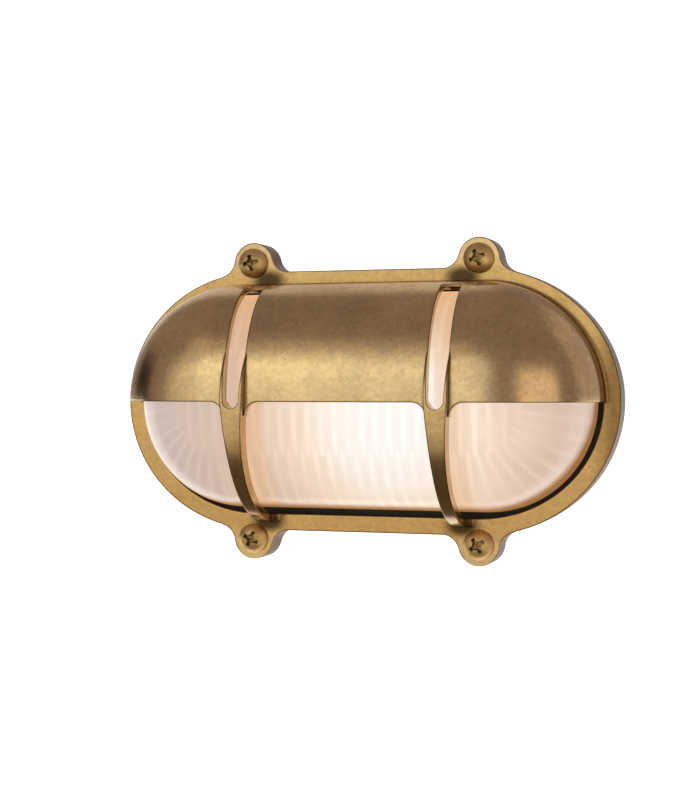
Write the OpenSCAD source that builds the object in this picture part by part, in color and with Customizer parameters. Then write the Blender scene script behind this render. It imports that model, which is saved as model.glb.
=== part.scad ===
// Oval bulkhead wall light: cast guard with bars and an eyelid hood over a fluted glass.
// X runs along the light, Z is up, the front faces -Y and the wall is the plane Y = 0.

/* [Flange] */
// Overall length of the flange
flange_len = 172; // [164:1:184]
// Height of the flange between its straight edges
flange_h = 88; // [84:1:94]
// Length of the straight stretch between the elliptical ends
flange_straight = 78; // [68:1:86]
// Depth from the wall to the front face of the flange
flange_depth = 9.2; // [8.8:0.1:12]
// Width of the flat rim round the window
rim_w = 5.6; // [5:0.1:6.4]
// Thickness of the front web of the flange
web_t = 2.4; // [2:0.1:2.8]
// Thickness of the skirt that laps over the base plate
skirt_t = 2; // [1.6:0.1:2.2]

/* [Lugs and guard screws] */
// Distance between the lug screws along the light
lug_span_x = 79; // [70:1:84]
// Distance from the flange edge out to the lug screws
lug_out = 3; // [2:0.1:5]
// Radius of a lug
lug_r = 7; // [6.8:0.1:7.6]
// Radius of the fillets that join a lug to the flange
lug_fillet = 6; // [4:0.5:8]
// Nominal diameter of the guard screws
guard_screw_d = 5; // [4:0.5:5]
// Length of the guard screws under the head
guard_screw_len = 8; // [7:0.5:8.5]
// Diameter of the guard screw heads
guard_head_d = 10; // [8.5:0.5:11]
// Height of the guard screw heads
guard_head_h = 3.7; // [3:0.1:4.5]

/* [Hood and bars] */
// Distance from the flange edge in to the outside of the hood
hood_inset = 4.9; // [4.4:0.1:5.4]
// Distance from the flange end in to the outside of the hood
hood_end_inset = 5; // [3.8:0.1:5.4]
// Projection of the hood in front of the flange
hood_proj = 32.6; // [31:0.2:36]
// Height of the upright foot of the hood before it rounds over
hood_upright = 6.5; // [0.5:0.5:9]
// Wall of the hood
hood_wall = 2.3; // [1.8:0.1:2.6]
// Height of the lower edge of the hood above mid height
hood_edge_z = 0; // [-3:0.5:4]
// Radius of the fillet at the foot of the hood
hood_fillet = 1.4; // [0.8:0.1:2]
// Radius in the window corners beside the bars
corner_r = 4.5; // [2:0.5:6]
// Distance between the centres of the two bars
bar_span = 67.8; // [56:0.2:72]
// Width of a bar where it leaves the hood
bar_w = 7.6; // [7:0.1:8.4]
// Width of a bar near its foot
bar_foot_w = 4; // [3:0.1:6]
// Projection of the bars in front of the flange
bar_proj = 35.2; // [35:0.2:40]
// Distance from the flange edge in to the end of the bar foot
bar_foot_inset = 3; // [2:0.1:4]
// Height at which the rib of a bar would reach the flange plane above the middle
rib_reach = 31; // [28:0.5:34]
// Radius of the flare at the foot of a bar
foot_flare = 3.5; // [2:0.5:5]
// Width of the slots in the hood
slot_w = 6.8; // [5.6:0.1:7]
// Width of the slots at their rounded lower end
slot_foot_w = 5.4; // [4:0.1:6]
// Height above mid height at which the slots reach their full width
slot_full_z = 14; // [8:0.5:20]
// Distance of the lower end of the slots below the edge of the hood
slot_drop = 2.2; // [0:0.1:3]
// Thickness of the metal round the lower end of the slots
slot_wall = 3; // [3:0.1:4]
// Width of the metal left on each side of a bar behind its slot
slot_lip = 0.5; // [0.3:0.1:0.8]
// Height of the top end of the slots above mid height
slot_top = 37.6; // [34:0.2:37.8]

/* [Glass and gasket] */
// Gap between the glass and the inside of the hood at the flange
glass_gap = 0.7; // [0.5:0.1:1.2]
// Projection of the glass in front of the flange
glass_proj = 27; // [24:0.2:27.4]
// Wall of the glass without its flutes
glass_wall = 2.6; // [2.2:0.1:3.2]
// Thickness of the rim of the glass
glass_rim_t = 2; // [1.6:0.1:2.2]
// Width that the rim of the glass stands out past the window edge
glass_rim_lap = 1.9; // [1.5:0.1:2]
// Spacing of the flutes inside the glass
flute_pitch = 4.6; // [4:0.2:6]
// Height of the flutes
flute_h = 0.9; // [0.4:0.1:1.2]
// Roundness of the glass section, where 2 is an ellipse and more is squarer
glass_power = 2.2; // [2:0.05:2.3]

/* [Base plate] */
// Thickness of the base plate
base_t = 3; // [2.6:0.1:3.2]
// Distance between the two wall fixing holes
fixing_span = 138; // [130:1:140]
// Diameter of the wall fixing holes
fixing_d = 5.2; // [4:0.1:6]
// Place of the cable entry along the light
entry_x = -20; // [-24:1:-16]
// Diameter of the cable entry
entry_d = 20; // [16:0.5:21]
// Bore of the cable grommet
grommet_bore = 9; // [6:0.5:11]

/* [Lamp and holder] */
// Distance of the lamp axis from the wall
lamp_axis = 18; // [16:0.5:20]
// Distance from the flange end in to the back of the lampholder
holder_setback = 28; // [26:1:32]
// Diameter of the lampholder body
holder_d = 17; // [15:0.5:18]
// Length of the lampholder body
holder_len = 20; // [16:0.5:22]
// Diameter of the lamp bulb
bulb_d = 14; // [11:0.5:16]
// Length of the lamp bulb
bulb_len = 42; // [34:1:50]
// Distance between the lamp pins
pin_span = 9; // [7:0.5:9.5]
// Thickness of the steel bracket
bracket_t = 1.5; // [1:0.1:2]
// Width of the foot of the bracket
bracket_w = 34; // [30:1:38]

/* [Terminals] */
// Distance from the flange end in to the middle of the terminal block
terminal_setback = 37; // [36:1:40]
// Spacing of the three poles
pole_pitch = 10; // [9:0.5:11]
// Width of the terminal block
terminal_w = 16; // [14:0.5:18]
// Height of the terminal block above the base plate
terminal_h = 13; // [11:0.5:15]
// Diameter of the leads with their insulation
wire_d = 2.2; // [1.8:0.1:2.4]

/* [Hidden] */

brass = "#b08a3e";
screw_brass = "#c8a85a";
steel = "#b9bcc0";

// Small overlap that makes a cut pass right through
eps = 0.1;
// Clearance between pieces that slip past one another
slip = 0.3;
// Clearance round a screw that passes through a piece
screw_clear = 0.25;
// Share of its radius at which a cove is centred off the faces that it joins
cove = 0.93;
// Play of a screw in its thread, on the radius
thread_play = 0.08;

straight = flange_straight / 2;
lug_x = lug_span_x / 2;
end_a = flange_len / 2 - straight;
half_h = flange_h / 2;
lug_z = half_h + lug_out;

hood_half_h = half_h - hood_inset;
dome_straight = flange_len / 2 - hood_end_inset - hood_half_h;
inner_half_h = hood_half_h - hood_wall;
inner_proj = hood_proj - hood_wall;

window_half_h = half_h - rim_w;
window_half_len = flange_len / 2 - rim_w;

bar_x = bar_span / 2;
bar_half_h = half_h - bar_foot_inset;

seat_back = base_t;
seat_front = flange_depth - web_t;
lip_t = (seat_front - seat_back - glass_rim_t) / 2;
glass_half_h = inner_half_h - glass_gap;
gasket_out = skirt_t + slip;

guard_screw_r = guard_screw_d / 2;
recess_turns = [10, 21, -25, 32];
m4_r = 2;
m4_head_r = 3.5;
m4_head_h = 2.4;
m3_r = 1.5;
m3_head_r = 2.5;
m3_head_h = 1.8;

// A slab across the light: the outline drawn in X and Z, thick from one depth to another
module slab(from, to) {
    translate([0, -from, 0])
        rotate([90, 0, 0])
            linear_extrude(to - from)
                children();
}

// A plate along the light: the outline drawn as depth from the wall and height Z
module plate_at(x, width) {
    translate([x, 0, 0])
        rotate([90, 0, -90])
            linear_extrude(width, center = true)
                children();
}

// Places at the four lugs, in the order upper left, upper right, lower left, lower right
module at_lugs() {
    for (i = [0 : 3]) {
        $turn = recess_turns[i];
        translate([(i % 2 == 0 ? -1 : 1) * lug_x, 0, (i < 2 ? 1 : -1) * lug_z])
            children();
    }
}

// A round rod that points to the front, from one depth to another
module rod_y(from, to, r) {
    translate([0, -from, 0])
        rotate([90, 0, 0])
            cylinder(h = to - from, r = r);
}

// Oval outline: a straight middle with half an ellipse at each end
module oval(half_len, half_height) {
    square([2 * straight, 2 * half_height], center = true);
    for (s = [0, 1])
        mirror([s, 0])
            translate([straight, 0])
                intersection() {
                    scale([(half_len - straight) / half_height, 1])
                        circle(half_height);
                    translate([0, -half_len])
                        square(2 * half_len);
                }
}

// Outline of the glass and the hood: a straight middle with round ends
module stadium(r) {
    square([2 * dome_straight, 2 * r], center = true);
    for (s = [0, 1])
        mirror([s, 0])
            translate([dome_straight, 0])
                intersection() {
                    circle(r);
                    translate([0, -flange_h])
                        square(2 * flange_h);
                }
}

// Half of a lug beside the flange, with its fillet tangent to the lug and to an edge of radius edge_r
module lug_neck(edge_r, r, fillet) {
    reach = edge_r + fillet;
    rise = lug_z - half_h + edge_r;
    turn = acos((reach * reach + rise * rise - pow(r + fillet, 2)) / (2 * reach * rise));
    centre = [reach * sin(turn), half_h - edge_r + reach * cos(turn)];
    foot = [edge_r * sin(turn), half_h - edge_r + edge_r * cos(turn)];
    crown = [centre[0] * r / (r + fillet), lug_z + (centre[1] - lug_z) * r / (r + fillet)];
    difference() {
        polygon([[0, half_h - r], [foot[0], half_h - r], foot, crown, [0, lug_z]]);
        translate(centre)
            circle(fillet);
    }
}

// Outline of the flange with its four lugs, drawn smaller all round by inset
module lugged_outline(inset) {
    r = lug_r - inset;
    fillet = lug_fillet + inset;
    edge_r = end_a * end_a / half_h;
    oval(flange_len / 2 - inset, half_h - inset);
    for (sx = [0, 1], sz = [0, 1])
        mirror([sx, 0])
            mirror([0, sz])
                translate([lug_x, 0]) {
                    translate([0, lug_z])
                        circle(r);
                    translate([0, -inset])
                        lug_neck(edge_r, r, fillet);
                    mirror([1, 0])
                        translate([0, -inset])
                            lug_neck(20 * edge_r, r, fillet);
                }
}

// Quarter of an ellipse in the side view, in front of the flange and above or below the middle
module quarter(proj, half_height, up) {
    translate([flange_depth, 0])
        intersection() {
            scale([proj / half_height, 1])
                circle(half_height);
            translate([0, up ? 0 : -flange_h])
                square(flange_h);
        }
}

// Outline of the hood in the side view: an upright foot that rounds over to the front
module arch(proj, half_height) {
    translate([flange_depth, 0])
        square([hood_upright, half_height]);
    translate([hood_upright, 0])
        quarter(proj - hood_upright, half_height, true);
}

// Section through the wall of the hood, above or below the middle
module hood_section(up) {
    difference() {
        if (up)
            arch(hood_proj, hood_half_h);
        else
            quarter(hood_proj, hood_half_h, false);
        if (up)
            translate([-eps, 0])
                arch(inner_proj + eps, inner_half_h);
        else
            quarter(inner_proj, window_half_h, false);
    }
    if (up)
        difference() {
            translate([flange_depth - eps, hood_half_h - hood_wall / 2])
                square([hood_fillet, hood_wall / 2 + hood_fillet]);
            translate([flange_depth + cove * hood_fillet, hood_half_h + cove * hood_fillet])
                circle(hood_fillet);
        }
}

// Rounded end of the hood: its section turned a quarter round, from upright to level
module hood_end() {
    translate([dome_straight, 0, 0])
        rotate([90, 0, 0])
            rotate_extrude(angle = 90)
                rotate(90)
                    mirror([0, 1])
                        hood_section(true);
}

// Front view of the hood: above its edge, with rounded corners down beside the bars
module hood_mask() {
    translate([-flange_len / 2, hood_edge_z])
        square([flange_len, half_h]);
    for (s = [-1, 1], t = [-1, 1])
        translate([s * bar_x + t * bar_w / 2, hood_edge_z])
            corner(t);
}

// A rounded corner that fills the angle below an edge and beside a bar
module corner(side) {
    difference() {
        translate([side > 0 ? -eps : -corner_r, -corner_r])
            square([corner_r + eps, corner_r + eps]);
        translate([side * corner_r, -corner_r])
            circle(corner_r);
    }
}

// Front view of one bar: straight beside the slot, then tapered in a long curve to its foot
module bar_mask() {
    foot_z = -window_half_h;
    taper = (bar_w - bar_foot_w) / 2;
    drop = hood_edge_z - foot_z;
    bend = (drop * drop + taper * taper) / (2 * taper);
    translate([-bar_w / 2, hood_edge_z])
        square([bar_w, half_h - hood_edge_z]);
    difference() {
        translate([-bar_w / 2, foot_z])
            square([bar_w, drop]);
        for (s = [-1, 1])
            translate([s * (bar_foot_w / 2 + bend), foot_z])
                circle(bend, $fn = 720);
    }
    translate([-bar_foot_w / 2, -half_h])
        square([bar_foot_w, half_h + foot_z]);
}

// View from above of the flare where the foot of a bar meets the flange
module flare_mask() {
    reach = bar_foot_w / 2 + foot_flare;
    difference() {
        translate([-reach, -flange_depth - foot_flare])
            square([2 * reach, foot_flare + eps]);
        for (s = [-1, 1])
            translate([s * reach, -flange_depth - cove * foot_flare])
                circle(foot_flare);
    }
}

// Side view of a bar: a quarter ellipse down to its foot and a shorter one up into the hood
module bar_side() {
    difference() {
        quarter(bar_proj, bar_half_h, false);
        quarter(inner_proj, window_half_h, false);
    }
    difference() {
        quarter(bar_proj, rib_reach, true);
        arch(inner_proj, inner_half_h);
    }
}

// Front view of a slot in the hood, round at its lower end and wider above
module slot_mask() {
    low = hood_edge_z - slot_drop + slot_foot_w / 2;
    translate([0, low])
        circle(slot_foot_w / 2);
    polygon([
        [-slot_foot_w / 2, low], [slot_foot_w / 2, low], [slot_w / 2, slot_full_z],
        [slot_w / 2, slot_top], [-slot_w / 2, slot_top], [-slot_w / 2, slot_full_z]
    ]);
}

// Side view of the pocket that thins the metal behind the lower end of a slot
module pocket_side() {
    quarter(bar_proj - slot_wall, rib_reach, true);
}

// Hood and bars in front of the flange
module hood_and_bars() {
    difference() {
        union() {
            intersection() {
                plate_at(0, 2 * dome_straight) {
                    hood_section(true);
                    hood_section(false);
                }
                slab(0, flange_depth + 2 * hood_proj)
                    hood_mask();
            }
            for (s = [0, 1])
                mirror([s, 0, 0])
                    hood_end();
            for (s = [-1, 1])
                intersection() {
                    plate_at(s * bar_x, 2 * (bar_w + foot_flare))
                        bar_side();
                    union() {
                        slab(0, flange_depth + 2 * bar_proj)
                            translate([s * bar_x, 0])
                                bar_mask();
                        translate([s * bar_x, 0, -half_h])
                            linear_extrude(rim_w)
                                flare_mask();
                    }
                }
        }
        for (s = [-1, 1]) {
            slab(flange_depth + eps, flange_depth + 2 * bar_proj)
                translate([s * bar_x, 0])
                    slot_mask();
            plate_at(s * bar_x, bar_w - 2 * slot_lip)
                pocket_side();
        }
    }
}

// One casting: flange with skirt and lugs, bars and slotted hood
module front_guard() {
    color(brass)
        difference() {
            union() {
                difference() {
                    slab(slip, flange_depth)
                        lugged_outline(0);
                    slab(-eps, seat_front)
                        lugged_outline(skirt_t);
                    slab(0, flange_depth + eps)
                        oval(window_half_len, window_half_h);
                }
                hood_and_bars();
            }
            at_lugs()
                rod_y(0, flange_depth + eps, guard_screw_r + screw_clear);
        }
}

// Pan-head screw that points to the front, its head seated at a depth, with a cross recess
module pan_screw(seat, r, len, head_r, head_h, turn) {
    crown_h = 0.68 * head_h;
    crown_r = (head_r * head_r + crown_h * crown_h) / (2 * crown_h);
    recess_l = 1.1 * head_r;
    recess_w = 0.26 * head_r;
    rod_y(seat - len, seat, r);
    difference() {
        intersection() {
            rod_y(seat, seat + head_h, head_r);
            translate([0, crown_r - seat - head_h, 0])
                sphere(crown_r);
        }
        for (a = [turn, turn + 90])
            rotate([0, -a, 0])
                translate([-recess_l / 2, -seat - 2 * head_h, -recess_w / 2])
                    cube([recess_l, 1.6 * head_h, recess_w]);
        translate([0, -seat - 0.3 * head_h, 0])
            rotate([90, 0, 0])
                cylinder(h = head_h, r1 = 0.1 * head_r, r2 = 0.42 * head_r);
    }
}

// Four M5 pan-head screws that hold the guard to the ears of the base plate
module guard_screws() {
    color(screw_brass)
        at_lugs()
            pan_screw(flange_depth, guard_screw_r - thread_play, guard_screw_len,
                      guard_head_d / 2, guard_head_h, $turn);
}

// Pressed glass dome: smooth outside, flutes inside, and a flat rim held by the gasket
flutes_side = round(2 * dome_straight / flute_pitch);
end_mean_r = 0.75 * glass_half_h;
flutes_end = round(PI * end_mean_r / flute_pitch);
columns = 4 * (flutes_side + flutes_end);
arc_steps = 8;
shoulder_step = 5;

// Place along the straight, from -1 to 1, and outward direction of one column of the glass
function column_foot(j) =
    let (n = 2 * flutes_side, m = 2 * flutes_end, k = j % columns)
    k < n ? [2 * k / n - 1, -90]
    : k < n + m ? [1, -90 + 180 * (k - n) / m]
    : k < 2 * n + m ? [1 - 2 * (k - n - m) / n, 90]
    : [-1, 90 + 180 * (k - 2 * n - m) / m];

// Ring of points on an oval at a depth from the wall
function oval_ring(along, end, half, depth) =
    [for (j = [0 : columns - 1])
        let (f = column_foot(j))
        [f[0] * along + end * cos(f[1]), -depth, half * sin(f[1])]];

// Ring of points at one step of the domed section, with every second column raised inward by lift
function dome_ring(half, proj, step, lift) =
    let (a = 84 * step / arc_steps,
         q = pow(cos(a), 2 / glass_power),
         d = pow(sin(a), 2 / glass_power),
         phase = step > shoulder_step ? 1 : 0)
    [for (j = [0 : columns - 1])
        let (f = column_foot(j), raise = (j + phase) % 2 * lift, r = q * (half - raise))
        [f[0] * dome_straight + r * cos(f[1]), -flange_depth - d * (proj - raise), r * sin(f[1])]];

module glass() {
    half_in = glass_half_h - glass_wall;
    proj_in = glass_proj - glass_wall;
    rim_end = window_half_len + glass_rim_lap - straight;
    rim_half = window_half_h + glass_rim_lap;
    rim_back = seat_back + lip_t;
    rim_front = rim_back + glass_rim_t;
    rings = concat(
        [for (i = [arc_steps : -1 : 1])
            dome_ring(half_in, proj_in, i, i < arc_steps ? flute_h : 0)],
        [oval_ring(dome_straight, half_in, half_in, rim_back)],
        [oval_ring(straight, rim_end, rim_half, rim_back)],
        [oval_ring(straight, rim_end, rim_half, rim_front)],
        [oval_ring(dome_straight, glass_half_h, glass_half_h, rim_front)],
        [for (i = [1 : arc_steps]) dome_ring(glass_half_h, glass_proj, i, 0)]
    );
    last = len(rings) - 1;
    walls = [
        for (i = [0 : last - 1], j = [0 : columns - 1])
            let (a = i * columns + j,
                 b = i * columns + (j + 1) % columns)
            each [[a, b + columns, b], [a, a + columns, b + columns]]
    ];
    tip = 2 * flutes_side + flutes_end;
    caps = [
        [for (j = [0 : columns - 1]) (tip + j) % columns],
        [for (j = [columns - 1 : -1 : 0]) last * columns + (tip + j + 1) % columns]
    ];
    color("#e8e2d2", 0.8)
        polyhedron([for (ring = rings) each ring], concat(walls, caps), convexity = 6);
}

// Rubber ring of U section round the rim of the glass
module glass_gasket() {
    rim_back = seat_back + lip_t;
    color("#1c1c1c")
        difference() {
            slab(seat_back, seat_front)
                oval(flange_len / 2 - gasket_out, half_h - gasket_out);
            slab(rim_back, rim_back + glass_rim_t)
                oval(window_half_len + glass_rim_lap + slip / 2, window_half_h + glass_rim_lap + slip / 2);
            slab(0, flange_depth)
                stadium(glass_half_h + slip);
        }
}

// Places of the inner pieces and of their holes in the base plate
holder_back = flange_len / 2 - holder_setback;
holder_mouth_x = holder_back - holder_len;
bracket_foot_l = 14;
bracket_screw_in = 9;
bracket_screw_edge = 4.5;
bracket_foot_x = holder_back - bracket_screw_in;
bracket_screw_z = bracket_w / 2 - bracket_screw_edge;
terminal_x = terminal_setback - flange_len / 2;
terminal_fix_z = pole_pitch / 2;
earth_gap = 6;
earth_rise = 3;
earth_x = terminal_x - terminal_w / 2 - earth_gap;
earth_z = pole_pitch + earth_rise;

// Cast base plate with four tapped ears, wall fixing holes and a cable entry
module base_plate() {
    ear_top = seat_front - slip;
    ear_r = lug_r - skirt_t - slip;
    color(brass)
        difference() {
            union() {
                slab(0, base_t)
                    lugged_outline(skirt_t + slip);
                at_lugs()
                    rod_y(0, ear_top, ear_r);
            }
            at_lugs()
                rod_y(-eps, flange_depth, guard_screw_r);
            for (s = [-1, 1]) {
                translate([s * fixing_span / 2, 0, 0])
                    rod_y(-eps, flange_depth, fixing_d / 2);
                translate([bracket_foot_x, 0, s * bracket_screw_z])
                    rod_y(-eps, flange_depth, m4_r);
                translate([terminal_x, 0, s * terminal_fix_z])
                    rod_y(-eps, flange_depth, m3_r);
            }
            translate([earth_x, 0, earth_z])
                rod_y(-eps, flange_depth, m4_r);
            translate([entry_x, 0, 0])
                rod_y(-eps, flange_depth, entry_d / 2);
        }
}

// Rubber grommet that lines the cable entry
module cable_grommet() {
    collar_t = 1.6;
    collar_r = entry_d / 2 + 2;
    inside = slip / 2;
    color("#222222")
        translate([entry_x, 0, 0])
            difference() {
                union() {
                    rod_y(inside, base_t + collar_t, entry_d / 2 - slip / 2);
                    rod_y(base_t, base_t + collar_t, collar_r);
                }
                rod_y(-eps, flange_depth, grommet_bore / 2);
            }
}

// A round rod along the light at the height of the lamp axis
module rod_x(from, to, r) {
    translate([from, -lamp_axis, 0])
        rotate([0, 90, 0])
            cylinder(h = to - from, r = r);
}

pinch_len = 9;
pinch_lap = 2;
pinch_edge = 0.4;
pinch_t = 4.4;
pin_len = 6;
pin_r = 0.6;
pinch_x = holder_mouth_x - pinch_len;

// Capsule lamp: bulb with round ends, flat pinch and two pins
module lamp() {
    bulb_r = bulb_d / 2;
    bulb_tip = pinch_x - bulb_len + pinch_lap;
    neck_x = pinch_x + pinch_lap - bulb_r / 2;
    neck_r = bulb_r - 3 * pinch_edge;
    color("#fff6e0")
        union() {
            rod_x(bulb_tip + bulb_r, neck_x, bulb_r);
            translate([bulb_tip + bulb_r, -lamp_axis, 0])
                sphere(bulb_r);
            translate([neck_x, -lamp_axis, 0])
                rotate([0, 90, 0])
                    cylinder(h = bulb_r / 2, r1 = bulb_r, r2 = neck_r);
            translate([pinch_x, -lamp_axis - pinch_t / 2, pinch_edge - bulb_r])
                cube([pinch_len, pinch_t, 2 * (bulb_r - pinch_edge)]);
            for (s = [-1, 1])
                translate([0, 0, s * pin_span / 2])
                    rod_x(holder_mouth_x - eps, holder_mouth_x + pin_len, pin_r);
        }
}

lead_depth = 4;
lead_hole_r = wire_d / 2 + slip / 2;
socket_r = pin_r + 0.2;
socket_depth = pin_len + 1;
socket_wall = 1.5;
lead_x = holder_mouth_x + socket_depth + socket_wall + lead_hole_r;
holder_screw_depth = 4;

// Ceramic lampholder with a socket for the pins and a lead hole in each side
module lampholder() {
    r = holder_d / 2;
    color("#ece7da")
        difference() {
            rod_x(holder_mouth_x, holder_back, r);
            for (s = [-1, 1]) {
                translate([0, 0, s * pin_span / 2])
                    rod_x(holder_mouth_x - eps, holder_mouth_x + socket_depth, socket_r);
                translate([0, 0, s * pin_span / 2])
                    rod_x(holder_back - holder_screw_depth, holder_back + eps, m3_r);
                translate([lead_x, -lamp_axis, s * (r - lead_depth)])
                    rotate([0, s > 0 ? 0 : 180, 0])
                        cylinder(h = 2 * lead_depth, r = lead_hole_r);
            }
        }
}

// Bent steel bracket: foot on the base plate and upright behind the holder
module holder_bracket() {
    upright_w = holder_d + 1;
    color(steel)
        difference() {
            union() {
                translate([holder_back - bracket_foot_l, -base_t - bracket_t, -bracket_w / 2])
                    cube([bracket_foot_l + bracket_t, bracket_t, bracket_w]);
                translate([holder_back, -lamp_axis - holder_d / 2, -upright_w / 2])
                    cube([bracket_t, lamp_axis + holder_d / 2 - base_t, upright_w]);
            }
            for (s = [-1, 1]) {
                translate([bracket_foot_x, 0, s * bracket_screw_z])
                    rod_y(0, lamp_axis / 2, m4_r + screw_clear);
                translate([0, 0, s * pin_span / 2])
                    rod_x(holder_back - eps, holder_back + bracket_t + eps, m3_r + screw_clear);
            }
        }
}

// Two M4 screws that hold the bracket to the base plate
module bracket_screws() {
    seat = base_t + bracket_t;
    color(steel)
        for (s = [-1, 1])
            translate([bracket_foot_x, 0, s * bracket_screw_z])
                pan_screw(seat, m4_r - thread_play, seat - slip, m4_head_r, m4_head_h, 20 * s);
}

// Two M3 screws that hold the lampholder to the bracket
module holder_screws() {
    screw_len = bracket_t + holder_screw_depth - slip;
    color(steel)
        for (s = [-1, 1])
            translate([holder_back + bracket_t, -lamp_axis, s * pin_span / 2])
                rotate([0, 0, 90])
                    pan_screw(0, m3_r - thread_play, screw_len, m3_head_r, m3_head_h, 15 * s);
}

terminal_end = 3;
terminal_len = 3 * pole_pitch + terminal_end;
barrel_setback = 1;
clamp_play = 0.9;
clamp_sunk = 1.5;
clamp_shank = 2.2;
clamp_lip = 0.6;
clamp_cut_w = 0.6;
clamp_cut_depth = 1;
collar_h = 4;
fixing_head_r = 2.2;
barrel_r = 2.6;
barrel_bore = 1.5;
barrel_rise = 6.5;
barrel_depth = base_t + barrel_rise;
clamp_r = 1.3;
clamp_x = 4;

// Places of the three poles of the terminal block
module at_poles() {
    for (i = [-1 : 1])
        translate([terminal_x, 0, i * pole_pitch])
            children();
}

// Moulded three-way terminal body with raised collars over the poles
module terminal_block() {
    collar_r = 3.4;
    low_h = terminal_h - collar_h;
    color("#e6e2d6")
        difference() {
            union() {
                translate([terminal_x - terminal_w / 2, -base_t - low_h, -terminal_len / 2])
                    cube([terminal_w, low_h, terminal_len]);
                at_poles()
                    for (s = [-1, 1])
                        translate([s * clamp_x, 0, 0])
                            rod_y(base_t, base_t + terminal_h, collar_r);
            }
            at_poles() {
                translate([-terminal_w, -barrel_depth, 0])
                    rotate([0, 90, 0])
                        cylinder(h = 2 * terminal_w, r = barrel_r + slip / 2);
                for (s = [-1, 1])
                    translate([s * clamp_x, 0, 0])
                        rod_y(barrel_depth, base_t + terminal_h + eps, clamp_r + clamp_play);
            }
            for (s = [-1, 1])
                translate([terminal_x, 0, s * terminal_fix_z])
                    rod_y(0, base_t + terminal_h, m3_r + screw_clear);
        }
}

// Three brass barrels in which the leads are clamped
module terminal_barrels() {
    barrel_len = terminal_w - barrel_setback;
    color(screw_brass)
        at_poles()
            difference() {
                translate([-barrel_len / 2, -barrel_depth, 0])
                    rotate([0, 90, 0])
                        cylinder(h = barrel_len, r = barrel_r);
                translate([-barrel_len, -barrel_depth, 0])
                    rotate([0, 90, 0])
                        cylinder(h = 2 * barrel_len, r = barrel_bore);
                for (s = [-1, 1])
                    translate([s * clamp_x, 0, 0])
                        rod_y(barrel_depth, barrel_depth + 2 * barrel_r, clamp_r + thread_play);
            }
}

// Six slotted clamp screws, two in each barrel
module terminal_screws() {
    low = barrel_depth + barrel_bore;
    top = base_t + terminal_h - clamp_sunk;
    cut_r = clamp_r + 2 * clamp_lip;
    color(steel)
        at_poles()
            for (s = [-1, 1])
                translate([s * clamp_x, 0, 0])
                    difference() {
                        union() {
                            rod_y(low, top, clamp_r);
                            rod_y(low + clamp_shank, top, clamp_r + clamp_lip);
                        }
                        translate([-clamp_cut_w / 2, -top - eps, -cut_r])
                            cube([clamp_cut_w, clamp_cut_depth, 2 * cut_r]);
                    }
}

// Two M3 screws that hold the terminal block to the base plate
module terminal_fixings() {
    seat = base_t + terminal_h - collar_h;
    color(steel)
        for (s = [-1, 1])
            translate([terminal_x, 0, s * terminal_fix_z])
                pan_screw(seat, m3_r - thread_play, seat - slip, fixing_head_r, m3_head_h, 40);
}

washer_t = 1;
tag_t = 0.8;
tag_w = 2.8;
tag_lip = 0.4;
crimp_len = 4;
crimp_lap = 1;
crimp_play = 0.02;

// M4 earth screw in the base plate
module earth_screw() {
    seat = base_t + tag_t + washer_t;
    color(screw_brass)
        translate([earth_x, 0, earth_z])
            pan_screw(seat, m4_r - thread_play, seat - slip, m4_head_r, m4_head_h, 5);
}

// Spring washer under the head of the earth screw, cut through on one side
module earth_washer() {
    color(steel)
        translate([earth_x, 0, earth_z])
            difference() {
                rod_y(base_t + tag_t, base_t + tag_t + washer_t, m4_head_r);
                rod_y(0, flange_depth, m4_r + screw_clear);
                translate([0, -flange_depth, -0.3])
                    cube([2 * m4_head_r, flange_depth, 0.6]);
            }
}

tag_reach = 7;

// Ring tag crimped to the end of the earth wire
module earth_tag() {
    color("#c9c6be")
        translate([earth_x, 0, earth_z])
            difference() {
                union() {
                    rod_y(base_t, base_t + tag_t, m4_head_r + tag_lip);
                    translate([-tag_w / 2, -base_t - tag_t, -tag_reach])
                        cube([tag_w, tag_t, tag_reach]);
                    translate([-tag_w / 2, -base_t - wire_d - 2 * tag_t, crimp_lap - tag_reach - crimp_len])
                        cube([tag_w, wire_d + 2 * tag_t, crimp_len]);
                }
                rod_y(0, flange_depth, m4_r + screw_clear);
                translate([0, -base_t - tag_t - wire_d / 2, -tag_reach - crimp_len])
                    cylinder(h = crimp_len, r = wire_d / 2 + crimp_play);
            }
}

// A round lead swept along its route of points
function unit(v) = v / norm(v);
function heading(p, i) = unit(p[min(i + 1, len(p) - 1)] - p[max(i - 1, 0)]);
function side_of(d) = unit(cross(d, abs(d[1]) > 0.9 ? [1, 0, 0] : [0, 1, 0]));
function lead_ring(c, d, r, n) =
    let (u = side_of(d), v = cross(d, u))
    [for (k = [0 : n - 1]) c + r * (cos(360 * k / n) * u + sin(360 * k / n) * v)];

module lead(route, r) {
    sides = 8;
    last = len(route) - 1;
    points = [for (i = [0 : last]) each lead_ring(route[i], heading(route, i), r, sides)];
    faces = concat(
        [[for (k = [sides - 1 : -1 : 0]) k]],
        [[for (k = [0 : sides - 1]) last * sides + k]],
        [for (i = [0 : last - 1], k = [0 : sides - 1])
            [i * sides + k, i * sides + (k + 1) % sides,
             (i + 1) * sides + (k + 1) % sides, (i + 1) * sides + k]]
    );
    polyhedron(points, faces, convexity = 8);
}

// Routes of the three leads
lead_low = -(base_t + wire_d / 2 + slip);
lead_out = terminal_x + terminal_w / 2;
lead_gap = 2.9;
lead_step = 4;
lead_z = bracket_w / 2 + wire_d / 2 + lead_gap;
holder_side = holder_d / 2;

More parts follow.
